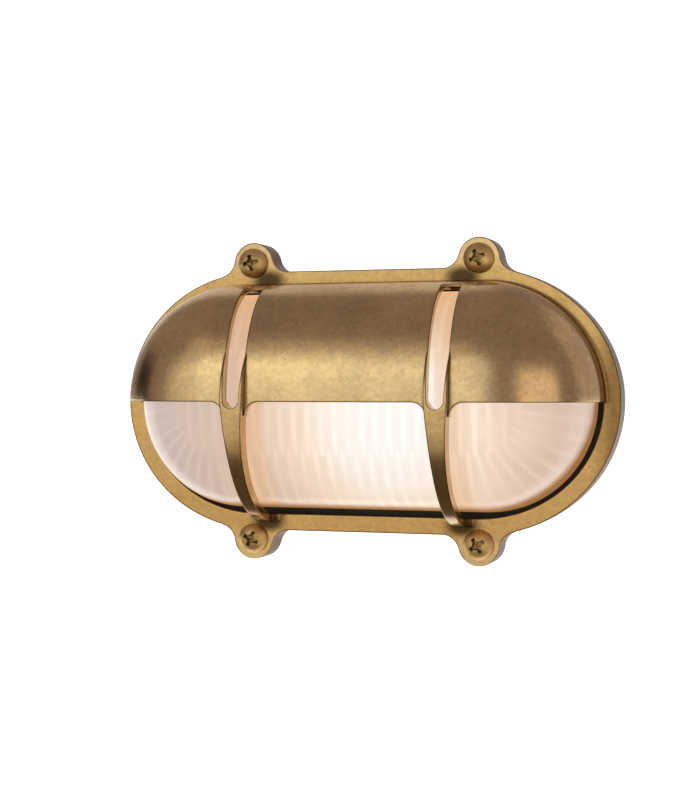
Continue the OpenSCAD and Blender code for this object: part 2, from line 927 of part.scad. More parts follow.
function side_route(pole, z) = [
    [lead_out - lead_step, -barrel_depth, pole],
    [lead_out + 0.25 * lead_step, -barrel_depth, pole],
    [lead_out + lead_step, -barrel_depth, pole + 0.1 * (z - pole)],
    [lead_out + 2 * lead_step, 0.7 * lead_low - 0.3 * barrel_depth, pole + 0.6 * (z - pole)],
    [lead_out + 3.25 * lead_step, lead_low, z],
    [0, lead_low, z],
    [lead_x - 4 * lead_step, lead_low, z],
    [lead_x - 2.25 * lead_step, lead_low - 0.5 * lead_step, z],
    [lead_x - 0.75 * lead_step, -lamp_axis + 1.25 * lead_step, z],
    [lead_x, -lamp_axis + 0.15 * lead_step, 0.8 * z],
    [lead_x, -lamp_axis, 0.65 * z],
    [lead_x, -lamp_axis, sign(z) * (holder_side - lead_depth + 0.25 * lead_step)]
];

module live_wire() {
    color("#7a4a2a")
        lead(side_route(0, lead_z), wire_d / 2);
}

module neutral_wire() {
    color("#3b62a8")
        lead(side_route(-pole_pitch, -lead_z), wire_d / 2);
}

module earth_wire() {
    out = terminal_x - terminal_w / 2;
    low = -(base_t + tag_t + wire_d / 2);
    color("#5f8f3c")
        lead([
            [out + lead_step, -barrel_depth, pole_pitch],
            [out - 0.25 * lead_step, -barrel_depth, pole_pitch],
            [out - lead_step, -barrel_depth + 0.15 * lead_step, pole_pitch - 0.5 * lead_step],
            [earth_x + 0.25 * lead_step, 0.5 * (low - barrel_depth), earth_z - tag_reach - 2 * lead_step],
            [earth_x, low, earth_z - tag_reach - 1.25 * lead_step],
            [earth_x, low, earth_z - tag_reach - 0.25 * lead_step]
        ], wire_d / 2);
}

front_guard();
guard_screws();
glass();
glass_gasket();
base_plate();
cable_grommet();
lamp();
lampholder();
holder_bracket();
bracket_screws();
holder_screws();
terminal_block();
terminal_barrels();
terminal_screws();
terminal_fixings();
earth_screw();
earth_washer();
earth_tag();
live_wire();
neutral_wire();
earth_wire();
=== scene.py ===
import bpy
import math
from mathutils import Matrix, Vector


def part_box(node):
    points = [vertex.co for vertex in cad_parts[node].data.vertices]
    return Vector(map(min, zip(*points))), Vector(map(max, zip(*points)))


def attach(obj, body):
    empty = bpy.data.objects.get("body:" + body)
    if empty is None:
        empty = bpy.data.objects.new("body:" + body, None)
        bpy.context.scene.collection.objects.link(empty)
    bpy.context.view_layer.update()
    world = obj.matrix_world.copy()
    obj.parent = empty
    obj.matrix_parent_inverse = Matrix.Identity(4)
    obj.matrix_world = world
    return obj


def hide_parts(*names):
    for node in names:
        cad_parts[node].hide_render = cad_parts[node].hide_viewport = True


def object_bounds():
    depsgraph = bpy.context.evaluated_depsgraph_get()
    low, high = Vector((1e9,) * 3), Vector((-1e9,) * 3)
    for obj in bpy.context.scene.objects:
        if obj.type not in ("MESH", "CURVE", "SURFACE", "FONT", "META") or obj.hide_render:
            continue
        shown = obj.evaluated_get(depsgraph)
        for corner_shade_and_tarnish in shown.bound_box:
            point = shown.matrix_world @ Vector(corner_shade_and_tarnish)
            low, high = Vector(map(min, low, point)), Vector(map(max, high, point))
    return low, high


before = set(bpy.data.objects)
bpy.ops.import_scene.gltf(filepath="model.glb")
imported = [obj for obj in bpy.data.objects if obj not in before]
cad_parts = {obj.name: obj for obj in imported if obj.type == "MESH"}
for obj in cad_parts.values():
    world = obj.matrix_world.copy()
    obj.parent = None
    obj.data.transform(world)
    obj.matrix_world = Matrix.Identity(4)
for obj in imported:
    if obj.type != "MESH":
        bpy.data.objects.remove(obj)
cad_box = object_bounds()

# Camera: a long lens on the right of the light and level with it, as the photograph was taken.
# It stands 545 mm from the front of the flange, turned 17.5 degrees, and is aimed a little left and down.
MM = 0.001
camera_data = bpy.data.cameras.new("camera")
camera_data.lens = 73.29
camera_data.sensor_width = 36
camera = bpy.data.objects.new("camera", camera_data)
camera.location = (164.0 * MM, -529.4 * MM, 5.5 * MM)
camera.rotation_euler = (math.radians(89.465), 0, math.radians(17.984))
bpy.context.scene.collection.objects.link(camera)
bpy.context.scene.camera = camera

# Studio: a grey room with soft panels, because a smooth casting shows its form by what it mirrors. Bright
# panels stand in front at the left and the right, a dark one at the left side and two pale ones behind.
# The room is dark below and white behind the light, and a weak warm softbox hangs at the upper left.
ROOM = "#8c7d7b"
ROOM_STRENGTH = 1.22
SOFTBOX_SIZE = (0.7, 0.5)
SOFTBOX_PLACE = (-0.5, -0.85, 0.5)
SOFTBOX_WATTS = 0.3
# Each panel's turn from straight ahead and its lift, as middle, half width and soft edge in degrees
PANELS = (
    ((-44, 14, 9), (-2, 24, 9), "#dcd3cc"),
    ((-17, 20, 3), (2, 27, 6), "#fffdfb"),
    ((-17, 24, 4), (-22, 20, 4), "#dccdbd"),
    ((42, 18, 3), (-8, 30, 3), "#ffeadf"),
    ((-97, 15, 6), (-8, 27, 7), "#2a2422"),
    ((120, 32, 6), (12, 40, 12), "#b4a5a4"),
    ((-150, 20, 8), (35, 28, 10), "#c8bdb8"),
)
# The dark below and the white behind: a direction, and the cosines at which each starts and is full
FIELDS = (
    ((0, 0, -1), 0.36, 0.85, "#57483a"),
    ((-0.156, 0.988, 0), 0.888, 0.908, "#ffffff"),
)
bpy.context.scene.view_settings.view_transform = "Standard"


def hex_linear(code):
    """Turns an sRGB hex colour into the linear values that the shaders use."""
    parts = [int(code[i:i + 2], 16) / 255 for i in (1, 3, 5)]
    return [c / 12.92 if c <= 0.04045 else ((c + 0.055) / 1.055) ** 2.4 for c in parts] + [1.0]


def add(tree, kind, values=None, **settings):
    """Adds one node with its own settings, and its sockets set to a number, a colour or a link."""
    node = tree.nodes.new(kind)
    for name, setting in settings.items():
        setattr(node, name, setting)
    for name, value in (values or {}).items():
        if isinstance(value, bpy.types.NodeSocket):
            tree.links.new(value, node.inputs[name])
        else:
            node.inputs[name].default_value = value
    return node


world = bpy.data.worlds.new("studio")
bpy.context.scene.world = world
world.use_nodes = True
sky = world.node_tree
sky.nodes.clear()
direction = add(sky, "ShaderNodeTexCoord").outputs["Generated"]
axes = add(sky, "ShaderNodeSeparateXYZ", {"Vector": direction})
ahead = add(sky, "ShaderNodeMath", {0: axes.outputs["Y"], 1: -1.0}, operation="MULTIPLY")
bearing = add(sky, "ShaderNodeMath", {0: axes.outputs["X"], 1: ahead.outputs[0]}, operation="ARCTAN2")
lift = add(sky, "ShaderNodeMath", {0: axes.outputs["Z"]}, operation="ARCSINE")
colour = hex_linear(ROOM)
for across, upright, code in PANELS:
    share = 1.0
    for angle, (centre, half, soft) in ((bearing, across), (lift, upright)):
        off = add(sky, "ShaderNodeMath", {0: angle.outputs[0], 1: math.radians(centre)}, operation="SUBTRACT")
        apart = add(sky, "ShaderNodeMath", {0: off.outputs[0]}, operation="ABSOLUTE")
        inside = add(sky, "ShaderNodeMapRange", {"Value": apart.outputs[0],
                                                 "From Min": math.radians(half + soft),
                                                 "From Max": math.radians(half - soft)},
                     interpolation_type="SMOOTHSTEP")
        both = add(sky, "ShaderNodeMath", {0: share, 1: inside.outputs[0]}, operation="MULTIPLY")
        share = both.outputs[0]
    colour = add(sky, "ShaderNodeMix", {"Factor": share, "A": colour, "B": hex_linear(code)},
                 data_type="RGBA").outputs["Result"]
for toward, start, full, code in FIELDS:
    aligned = add(sky, "ShaderNodeVectorMath", {0: direction, 1: toward}, operation="DOT_PRODUCT")
    inside = add(sky, "ShaderNodeMapRange", {"Value": aligned.outputs["Value"], "From Min": start,
                                             "From Max": full}, interpolation_type="SMOOTHSTEP")
    colour = add(sky, "ShaderNodeMix", {"Factor": inside.outputs[0], "A": colour, "B": hex_linear(code)},
                 data_type="RGBA").outputs["Result"]
room = add(sky, "ShaderNodeBackground", {"Color": colour, "Strength": ROOM_STRENGTH})
add(sky, "ShaderNodeOutputWorld", {"Surface": room.outputs["Background"]})

softbox_data = bpy.data.lights.new("key_softbox", "AREA")
softbox_data.shape = "RECTANGLE"
softbox_data.size = SOFTBOX_SIZE[0]
softbox_data.size_y = SOFTBOX_SIZE[1]
softbox_data.energy = SOFTBOX_WATTS
softbox_data.color = hex_linear("#fff4e6")[:3]
softbox = bpy.data.objects.new("key_softbox", softbox_data)
bpy.context.scene.collection.objects.link(softbox)
softbox.location = SOFTBOX_PLACE
guard_middle = (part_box("front_guard")[0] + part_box("front_guard")[1]) / 2
softbox.rotation_euler = (softbox.location - guard_middle).to_track_quat("Z", "Y").to_euler()

# Floor: a plain white shelf at the height of the lowest lugs. It starts just in front of the flange and
# runs back from there, so that the lower sides of the brass mirror the dark of the room.
SHELF_FRONT = -12 * MM
SHELF_BACK = 6
SHELF_HALF_WIDTH = 4
shelf_top = cad_box[0][2]
shelf_outline = ((-SHELF_HALF_WIDTH, SHELF_FRONT), (SHELF_HALF_WIDTH, SHELF_FRONT),
                 (SHELF_HALF_WIDTH, SHELF_BACK), (-SHELF_HALF_WIDTH, SHELF_BACK))
floor_mesh = bpy.data.meshes.new("floor")
floor_mesh.from_pydata([(x, y, shelf_top) for x, y in shelf_outline], [], [(0, 1, 2, 3)])
floor = bpy.data.objects.new("floor", floor_mesh)
bpy.context.scene.collection.objects.link(floor)
# Matt white paint: even and dull, with a little light of its own that keeps it white in the picture.
paint = bpy.data.materials.new("matt_white_paint")
paint.use_nodes = True
coat = paint.node_tree.nodes["Principled BSDF"]
coat.inputs["Base Color"].default_value = hex_linear("#f4f4f4")
coat.inputs["Roughness"].default_value = 0.9
coat.inputs["Emission Color"].default_value = hex_linear("#ffffff")
coat.inputs["Emission Strength"].default_value = 0.95
floor_mesh.materials.append(paint)

# Guard and base plate: two brass castings, poured in sand, fettled, tumbled and left to age without
# lacquer. The guard is flange, lugs, bars and slotted hood in one, and four screws hold it to the base.
# In millimetres, the flange's front stands this far from the wall, and a bar's foot from the middle:
FLANGE_FRONT = 9.2
FOOT_X = 34
FOOT_Z = 41
# Real sizes of the patterns in the brass
TARNISH_PATCH = 20 * MM
STAIN_PATCH = 9 * MM
MOTTLE_GRAIN = 1.6 * MM
PORE_SPACING = 2.6 * MM
SAND_GRAIN = 0.7 * MM


def dress(material, *names):
    """Gives CAD pieces their finish through their object's material slots."""
    for name in names:
        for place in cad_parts[name].material_slots:
            place.material = material


# Aged cast brass: golden on the flange, paler and greyer on the hood, browner in stains and dark in pits.
# Painted shade browns the right end and lines the edges, and painted shade with some tarnish and grime
# darkens the corners and the feet of the bars. The cast sides and the back are brown and dull, partly in
# their cast colour and partly as painted shade. The sand's grain is drawn coarser than it is, so that it
# shows.
brass = bpy.data.materials.new("aged_cast_brass")
brass.use_nodes = True
tree = brass.node_tree
metal = tree.nodes["Principled BSDF"]
spot = add(tree, "ShaderNodeTexCoord").outputs["Object"]
place = add(tree, "ShaderNodeSeparateXYZ", {"Vector": spot})

# Tarnish in broad patches, then the golden flange without its lugs, and painted shade that browns its right
# end
patches = add(tree, "ShaderNodeTexNoise", {"Vector": spot, "Scale": 1 / TARNISH_PATCH, "Detail": 8.0,
                                           "Roughness": 0.7})
tarnish = add(tree, "ShaderNodeMapRange", {"Value": patches.outputs["Fac"], "From Min": 0.36,
                                           "From Max": 0.66}, interpolation_type="SMOOTHSTEP")
hood_tone = add(tree, "ShaderNodeMix", {"Factor": tarnish.outputs[0], "A": hex_linear("#d6ba84"),
                                        "B": hex_linear("#c2a87a")}, data_type="RGBA")
flange = add(tree, "ShaderNodeMapRange", {"Value": place.outputs["Y"], "From Min": -12.5 * MM,
                                          "From Max": -10.5 * MM, "To Max": 0.7})
height = add(tree, "ShaderNodeMath", {0: place.outputs["Z"]}, operation="ABSOLUTE")
inside_lugs = add(tree, "ShaderNodeMapRange", {"Value": height.outputs[0], "From Min": 48 * MM,
                                               "From Max": 43 * MM})
golden = add(tree, "ShaderNodeMath", {0: flange.outputs[0], 1: inside_lugs.outputs[0]}, operation="MULTIPLY")
flange_tone = add(tree, "ShaderNodeMix", {"Factor": golden.outputs[0], "A": hood_tone.outputs["Result"],
                                          "B": hex_linear("#bd9753")}, data_type="RGBA")
# Painted shade: the right end of the flange darkened to brown
right_end_shade_span = add(tree, "ShaderNodeMapRange", {"Value": place.outputs["X"], "From Min": 76 * MM,
                                             "From Max": 83 * MM})
right_end_shade = add(tree, "ShaderNodeMath", {0: flange.outputs[0], 1: right_end_shade_span.outputs[0]}, operation="MULTIPLY")
end_shaded_tone = add(tree, "ShaderNodeMix", {"Factor": right_end_shade.outputs[0], "A": flange_tone.outputs["Result"],
                                       "B": hex_linear("#6e4e24")}, data_type="RGBA")

# Warm stains, the brown of the cast sides, partly their cast colour and partly painted shade, and a fine
# mottle over all of it
stain = add(tree, "ShaderNodeTexNoise", {"Vector": spot, "Scale": 1 / STAIN_PATCH, "Detail": 6.0,
                                         "Roughness": 0.7})
warm = add(tree, "ShaderNodeMapRange", {"Value": stain.outputs["Fac"], "From Min": 0.56, "From Max": 0.74,
                                        "To Max": 0.6}, interpolation_type="SMOOTHSTEP")
stained = add(tree, "ShaderNodeMix", {"Factor": warm.outputs[0], "A": end_shaded_tone.outputs["Result"],
                                      "B": hex_linear("#b98845")}, data_type="RGBA")
# The sides and back: partly their own cast brown, partly painted shade
cast_side_and_shade = add(tree, "ShaderNodeMapRange", {"Value": place.outputs["Y"], "From Min": -9.1 * MM,
                                        "From Max": -8.5 * MM})
sides_cast_and_shaded = add(tree, "ShaderNodeMix", {"Factor": cast_side_and_shade.outputs[0], "A": stained.outputs["Result"],
                                    "B": hex_linear("#664d2e")}, data_type="RGBA")
mottle = add(tree, "ShaderNodeTexNoise", {"Vector": spot, "Scale": 1 / MOTTLE_GRAIN, "Detail": 6.0,
                                          "Roughness": 0.8})
speckle = add(tree, "ShaderNodeMapRange", {"Value": mottle.outputs["Fac"], "From Min": 0.3, "From Max": 0.72,
                                           "To Min": 0.76, "To Max": 1.18})
mottled = add(tree, "ShaderNodeMix", {"Factor": 1.0, "A": sides_cast_and_shaded.outputs["Result"], "B": speckle.outputs[0]},
              data_type="RGBA", blend_type="MULTIPLY")

# A few pits, where the stains are, and corners darkened by painted shade with some tarnish
pores = add(tree, "ShaderNodeTexVoronoi", {"Vector": spot, "Scale": 1 / PORE_SPACING})
off_pit = add(tree, "ShaderNodeMapRange", {"Value": pores.outputs["Distance"], "From Min": 0.03,
                                           "From Max": 0.12})
unstained = add(tree, "ShaderNodeMapRange", {"Value": stain.outputs["Fac"], "From Min": 0.58,
                                             "From Max": 0.50})
sound = add(tree, "ShaderNodeMath", {0: off_pit.outputs[0], 1: unstained.outputs[0]}, operation="MAXIMUM")
pitted = add(tree, "ShaderNodeMix", {"Factor": sound.outputs[0], "A": hex_linear("#7a5a30"),
                                     "B": mottled.outputs["Result"]}, data_type="RGBA")
# Painted shade with some tarnish: corners darkened by ambient occlusion
corner_shade_and_tarnish = add(tree, "ShaderNodeAmbientOcclusion", {"Distance": 2.6 * MM}, samples=6, only_local=True)
clear_of_painted_shade = add(tree, "ShaderNodeMapRange", {"Value": corner_shade_and_tarnish.outputs["AO"], "From Min": 0.3,
                                             "From Max": 0.85})
corners_shaded = add(tree, "ShaderNodeMix", {"Factor": clear_of_painted_shade.outputs[0], "A": hex_linear("#5c3f1c"),
                                       "B": pitted.outputs["Result"]}, data_type="RGBA")

# Painted shade with some grime, in a flat ring round the foot of each bar, wider along the light than across
# it
mirrored = add(tree, "ShaderNodeVectorMath", {0: spot}, operation="ABSOLUTE")
from_foot = add(tree, "ShaderNodeVectorMath", {0: mirrored.outputs["Vector"],
                                               1: (FOOT_X * MM, FLANGE_FRONT * MM, FOOT_Z * MM)},
                operation="SUBTRACT")
widened = add(tree, "ShaderNodeVectorMath", {0: from_foot.outputs["Vector"], 1: (0.6, 1, 1)},
              operation="MULTIPLY")
off_foot = add(tree, "ShaderNodeVectorMath", {0: widened.outputs["Vector"]}, operation="LENGTH")
foot_shade_and_grime = add(tree, "ShaderNodeMapRange", {"Value": off_foot.outputs["Value"], "From Min": 5.0 * MM,
                                         "From Max": 1.6 * MM, "To Max": 0.95},
            interpolation_type="SMOOTHSTEP")
feet_shaded_and_grimy = add(tree, "ShaderNodeMix", {"Factor": foot_shade_and_grime.outputs[0], "A": corners_shaded.outputs["Result"],
                                    "B": hex_linear("#3a2810")}, data_type="RGBA")

# Painted shade in dark lines along the edges, which are also rounded for the eye
edge = add(tree, "ShaderNodeBevel", {"Radius": 0.9 * MM}, samples=8)
flat_normal = add(tree, "ShaderNodeNewGeometry").outputs["Normal"]
bend = add(tree, "ShaderNodeVectorMath", {0: edge.outputs["Normal"], 1: flat_normal}, operation="DOT_PRODUCT")
edge_shade = add(tree, "ShaderNodeMapRange", {"Value": bend.outputs["Value"], "From Min": 0.98, "From Max": 0.85,
                                       "To Max": 0.9})
edges_shaded = add(tree, "ShaderNodeMix", {"Factor": edge_shade.outputs[0], "A": feet_shaded_and_grimy.outputs["Result"],
                                    "B": hex_linear("#432c12")}, data_type="RGBA")
tree.links.new(edges_shaded.outputs["Result"], metal.inputs["Base Color"])
metal.inputs["Metallic"].default_value = 1.0
metal.inputs["Coat Weight"].default_value = 0.2
metal.inputs["Coat Roughness"].default_value = 0.3

# Gloss that varies with the tarnish, dull sides, and the relief of sand and pits
gloss = add(tree, "ShaderNodeMapRange", {"Value": patches.outputs["Fac"], "From Min": 0.3, "From Max": 0.7,
                                         "To Min": 0.17, "To Max": 0.26})
dull = add(tree, "ShaderNodeMix", {"Factor": cast_side_and_shade.outputs[0], "A": gloss.outputs[0], "B": 0.5})
tree.links.new(dull.outputs["Result"], metal.inputs["Roughness"])
sand = add(tree, "ShaderNodeTexNoise", {"Vector": spot, "Scale": 1 / SAND_GRAIN, "Detail": 4.0})
cast = add(tree, "ShaderNodeBump", {"Height": sand.outputs["Fac"], "Strength": 0.2, "Distance": 0.06 * MM,
                                    "Normal": edge.outputs["Normal"]})
dimple = add(tree, "ShaderNodeBump", {"Height": sound.outputs[0], "Strength": 0.25, "Distance": 0.08 * MM,
                                      "Normal": cast.outputs["Normal"]})
tree.links.new(dimple.outputs["Normal"], metal.inputs["Normal"])
dress(brass, "front_guard", "base_plate")

# Brass screws and terminal barrels: small pieces of drawn rod, turned or headed in a press.
# The four guard screws clamp the guard to the ears of the base plate.


def grained(name, light, dark, patch, metallic, roughness, relief):
    """Makes a finish of two tones in patches of a given size, duller in places and with painted shade in its
    nooks.
    """
    made = bpy.data.materials.new(name)
    made.use_nodes = True
    nodes = made.node_tree
    surface = nodes.nodes["Principled BSDF"]
    spot = add(nodes, "ShaderNodeTexCoord").outputs["Object"]
    cloud = add(nodes, "ShaderNodeTexNoise", {"Vector": spot, "Scale": 1 / patch, "Detail": 5.0,
                                              "Roughness": 0.65})
    blend = add(nodes, "ShaderNodeMapRange", {"Value": cloud.outputs["Fac"], "From Min": 0.35,
                                              "From Max": 0.68})
    tone = add(nodes, "ShaderNodeMix", {"Factor": blend.outputs[0], "A": hex_linear(light),
                                        "B": hex_linear(dark)}, data_type="RGBA")
    # Painted shade in the nooks, from ambient occlusion
    nook_shade = add(nodes, "ShaderNodeAmbientOcclusion", {"Distance": 1.2 * MM}, samples=8, only_local=True)
    clear_of_painted_shade = add(nodes, "ShaderNodeMapRange", {"Value": nook_shade.outputs["AO"], "From Min": 0.45,
                                                  "From Max": 0.95, "To Min": 0.12})
    shaded = add(nodes, "ShaderNodeMix", {"Factor": 1.0, "A": tone.outputs["Result"],
                                          "B": clear_of_painted_shade.outputs[0]}, data_type="RGBA", blend_type="MULTIPLY")
    dullness = add(nodes, "ShaderNodeMapRange", {"Value": cloud.outputs["Fac"], "From Min": 0.3,
                                                 "From Max": 0.7, "To Min": 0.85 * roughness,
                                                 "To Max": 1.2 * roughness})
    edge = add(nodes, "ShaderNodeBevel", {"Radius": 0.25 * MM}, samples=4)
    tooth = add(nodes, "ShaderNodeTexNoise", {"Vector": spot, "Scale": 1 / (0.3 * MM), "Detail": 3.0})
    bump = add(nodes, "ShaderNodeBump", {"Height": tooth.outputs["Fac"], "Strength": 0.3, "Distance": relief,
                                         "Normal": edge.outputs["Normal"]})
    nodes.links.new(shaded.outputs["Result"], surface.inputs["Base Color"])
    nodes.links.new(dullness.outputs[0], surface.inputs["Roughness"])
    nodes.links.new(bump.outputs["Normal"], surface.inputs["Normal"])
    surface.inputs["Metallic"].default_value = metallic
    return made


# Turned brass, lightly tarnished: as pale as the hood but duller, and darkened in the cross recess by painted
# shade with some dirt.
turned = grained("turned_brass", "#dcc084", "#c4a468", patch=3 * MM, metallic=1.0, roughness=0.46,
                 relief=0.02 * MM)
dress(turned, "guard_screws", "terminal_barrels", "earth_screw")

# Gasket and grommet: two rubber mouldings. The gasket is a ring of U section that is pushed on the rim of
# the glass, and the grommet is pushed in the cable entry of the base plate.
# Black rubber: near black and dull, with a faint grey bloom.
rubber = grained("moulded_black_rubber", "#0b0b0b", "#191817", patch=4 * MM, metallic=0.0, roughness=0.62,
                 relief=0.03 * MM)
dress(rubber, "glass_gasket", "cable_grommet")

# Glass: a pressed dome, smooth outside and fluted inside, whose flat rim sits in the gasket. Above a
# shoulder the flutes run straight up and stand half a pitch aside from those below it, which follow the
# round ends. Sizes in millimetres; the shoulder is a share of the arc from the flange to the crest.
GLASS_HALF = 36.1
GLASS_PROJECTION = 27.0
GLASS_STRAIGHT = 41.9
WALL = 2.6
SQUARENESS = 2.2
CREST_DEGREES = 89
RIM_BACK = 3.9
RIM_FRONT = 5.9
RIM_STRAIGHT = 39.0
RIM_END = 43.3
RIM_HALF = 40.3
FLUTE_PITCH = 4.6
FLUTE_HEIGHT = 0.5
FLUTE_RUN_OUT = 0.125
SHOULDER = 0.725
COLUMNS = 100
STEPS = 26


def oval(straight, end, half, depth):
    """Gives the points of one oval ring, as a straight middle with round ends, at a depth from the wall."""
    ring = []
    for way in (1, -1):
        for k in range(COLUMNS):
            ring.append((way * straight * (2 * k / COLUMNS - 1), -depth, -way * half))
        for k in range(COLUMNS):
            turn = math.pi * (k / COLUMNS - 0.5)
            ring.append((way * (straight + end * math.cos(turn)), -depth, way * half * math.sin(turn)))
    return [(x * MM, y * MM, z * MM) for x, y, z in ring]


def dome(half, projection):
    """Gives the rings of a dome whose section is a squarish ellipse, from the flange to its crest."""
    rings = []
    for k in range(STEPS + 1):
        turn = math.radians(CREST_DEGREES * k / STEPS)
        reach = half * math.cos(turn) ** (2 / SQUARENESS)
        depth = FLANGE_FRONT + projection * math.sin(turn) ** (2 / SQUARENESS)
        rings.append(oval(GLASS_STRAIGHT, reach, reach, depth))
    return rings


# Flutes counted along a ring, at each of its columns
flutes_side = 2 * GLASS_STRAIGHT / FLUTE_PITCH
flutes_end = round(math.pi * 0.75 * GLASS_HALF / FLUTE_PITCH)
half_pitch_aside = GLASS_STRAIGHT / FLUTE_PITCH + 0.5
counts = [flutes_side * c / COLUMNS if c <= COLUMNS else flutes_side + flutes_end * (c / COLUMNS - 1)
          for c in range(2 * COLUMNS + 1)]
counts += [counts[-1] + count for count in counts[1:]]


def fluted(ring, climb):
    """Raises the flutes on a ring of the inside. They run out at the rim and start anew at the shoulder."""
    raised = []
    for column, (x, y, z) in enumerate(ring):
        along = x / (FLUTE_PITCH * MM) + half_pitch_aside if climb > SHOULDER else counts[column]
        wave = math.sin(2 * math.pi * along)
        ridge = FLUTE_HEIGHT * min(1, climb / FLUTE_RUN_OUT) * (1 + wave) / 2
        middle = max(-GLASS_STRAIGHT * MM, min(GLASS_STRAIGHT * MM, x))
        inward = 1 - ridge / GLASS_HALF
        depth = (y + FLANGE_FRONT * MM) * (1 - ridge / GLASS_PROJECTION) - FLANGE_FRONT * MM
        raised.append((middle + (x - middle) * inward, depth, z * inward))
    return raised


inner_half = GLASS_HALF - WALL
inner_rings = dome(inner_half, GLASS_PROJECTION - WALL)[::-1]
rings = [fluted(ring, 1 - k / STEPS) for k, ring in enumerate(inner_rings)]
rings.append(oval(GLASS_STRAIGHT, inner_half, inner_half, RIM_BACK))
rings.append(oval(RIM_STRAIGHT, RIM_END, RIM_HALF, RIM_BACK))
rings.append(oval(RIM_STRAIGHT, RIM_END, RIM_HALF, RIM_FRONT))
rings.append(oval(GLASS_STRAIGHT, GLASS_HALF, GLASS_HALF, RIM_FRONT))
first_outer = len(rings)
rings += dome(GLASS_HALF, GLASS_PROJECTION)

around = 4 * COLUMNS
faces = []
for row in range(len(rings) - 1):
    for column in range(around):
        here = row * around + column
        beside = row * around + (column + 1) % around
        faces.append((here, beside, beside + around, here + around))
strips = len(faces)
outer_crest = (len(rings) - 1) * around
faces.append(tuple(range(around))[::-1])
faces.append(tuple(range(outer_crest, outer_crest + around)))
glass_mesh = bpy.data.meshes.new("pressed_glass")
glass_mesh.from_pydata([point for ring in rings for point in ring], [], faces)
glass_mesh.polygons.foreach_set("use_smooth", [True] * len(faces))

# Map of the flutes: their count along the ring, and the climb up the outside from the flange to the crest
map_of_flutes = glass_mesh.uv_layers.new(name="flutes")
for face in glass_mesh.polygons:
    closes_ring = face.index < strips and face.index % around == around - 1
    for loop in face.loop_indices:
        row, column = divmod(glass_mesh.loops[loop].vertex_index, around)
        if column == 0 and closes_ring:
            column = around
        climb = max(row - first_outer, 0) / STEPS
        map_of_flutes.data[loop].uv = (counts[column], climb)
glass = bpy.data.objects.new("pressed_glass", glass_mesh)
bpy.context.scene.collection.objects.link(glass)

# Frosted glass with its light painted in: a painted glow, milky, brightest before the lamp, duller and pinker
# away from it, and painted reflection and shade of the brass in amber under the hood, beside the bars and at
# the rim, where brass stands close. The flutes show as painted soft pale stripes of uneven strength, and the
# smooth outside keeps a faint gloss.
GLOW_PLACE = (17 * MM, -34 * MM, -6 * MM)
GLOW_REACH = 100 * MM
GLOW_STRENGTH = 0.94
FROST_CLOUD = 12 * MM
CLOUD_SHIFT = 6 * MM
STRIPE_MIDDLE = 3 * MM
STRIPE_ASIDE = 34 * MM
SCALLOP = 0.025
frost = bpy.data.materials.new("pressed_frosted_glass")
frost.use_nodes = True
tree = frost.node_tree
body = tree.nodes["Principled BSDF"]
coords = add(tree, "ShaderNodeTexCoord")
spot = coords.outputs["Object"]
place = add(tree, "ShaderNodeSeparateXYZ", {"Vector": spot})
unrolled = add(tree, "ShaderNodeSeparateXYZ", {"Vector": coords.outputs["UV"]})

# The two rows of flutes, drawn as painted light in the glow, which meet in scallops at the shoulder
upper_turn = add(tree, "ShaderNodeMath", {0: place.outputs["X"], 1: 2 * math.pi / (FLUTE_PITCH * MM),
                                          2: 2 * math.pi * half_pitch_aside}, operation="MULTIPLY_ADD")
upper = add(tree, "ShaderNodeMath", {0: upper_turn.outputs[0]}, operation="SINE")
lower_turn = add(tree, "ShaderNodeMath", {0: unrolled.outputs["X"], 1: 2 * math.pi}, operation="MULTIPLY")
lower = add(tree, "ShaderNodeMath", {0: lower_turn.outputs[0]}, operation="SINE")
scallop = add(tree, "ShaderNodeMath", {0: upper.outputs[0], 1: SCALLOP, 2: unrolled.outputs["Y"]},
              operation="MULTIPLY_ADD")
past_shoulder = add(tree, "ShaderNodeMapRange", {"Value": scallop.outputs[0], "From Min": SHOULDER - 0.01,
                                                 "From Max": SHOULDER + 0.02})
wave = add(tree, "ShaderNodeMix", {"Factor": past_shoulder.outputs[0], "A": lower.outputs[0],
                                   "B": upper.outputs[0]})
stripes = add(tree, "ShaderNodeMapRange", {"Value": wave.outputs["Result"], "From Min": -0.2,
                                           "From Max": 1.0, "To Min": -0.5}, interpolation_type="SMOOTHSTEP")

# The painted glow, by distance from its middle with cloudy edges
from_glow = add(tree, "ShaderNodeVectorMath", {0: spot, 1: GLOW_PLACE}, operation="SUBTRACT")
far = add(tree, "ShaderNodeVectorMath", {0: from_glow.outputs["Vector"]}, operation="LENGTH")
clouds = add(tree, "ShaderNodeTexNoise", {"Vector": spot, "Scale": 1 / FROST_CLOUD, "Detail": 4.0})
uneven = add(tree, "ShaderNodeMath", {0: clouds.outputs["Fac"], 1: CLOUD_SHIFT, 2: far.outputs["Value"]},
             operation="MULTIPLY_ADD")
spread = add(tree, "ShaderNodeMapRange", {"Value": uneven.outputs[0], "From Max": GLOW_REACH})
lit = add(tree, "ShaderNodeValToRGB", {"Fac": spread.outputs[0]})
brightest, dimmest = lit.color_ramp.elements
brightest.position = 0.12
brightest.color = hex_linear("#fffaf4")
dimmest.position = 0.85
dimmest.color = hex_linear("#cbbab1")
for position, code in ((0.24, "#fef2e6"), (0.34, "#f6e0cb"), (0.5, "#e0c5b0"), (0.66, "#d3bcad")):
    lit.color_ramp.elements.new(position).color = hex_linear(code)

